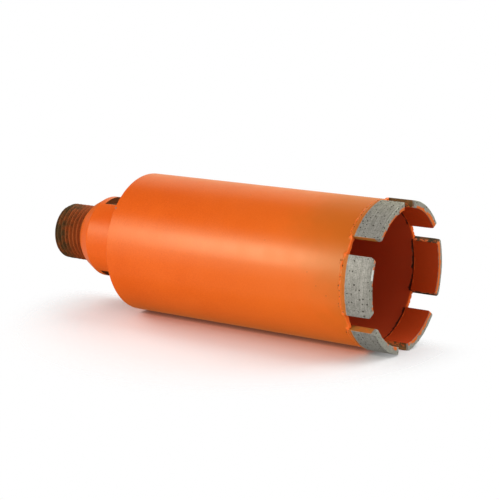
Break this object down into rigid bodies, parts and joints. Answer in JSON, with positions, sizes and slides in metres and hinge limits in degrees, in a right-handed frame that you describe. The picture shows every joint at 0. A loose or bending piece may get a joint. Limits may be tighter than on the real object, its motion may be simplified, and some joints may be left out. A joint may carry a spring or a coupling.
{
  "type": "diamond core bit",
  "caption": "Thin-walled steel core drill with sintered cutting segments on its open end, a closed back and a turned hub with spanner flats and a male pipe thread.",
  "frame": {"origin": "on the bit's axis, in the plane of the segments' working faces", "axes": "+Z along the axis from the crown towards the thread; +X through the middle of segment_1"},
  "size_m": [0.052, 0.0516, 0.1455],
  "materials": {
    "paint": "satin",
    "segment": "rough"
  },
  "bodies": {
    "root": {"barrel_tube": "paint", "hub": "paint", "segment_1": "segment", "segment_2": "segment", "segment_3": "segment", "segment_4": "segment", "segment_5": "segment", "segment_6": "segment"}
  },
  "joints": []
}
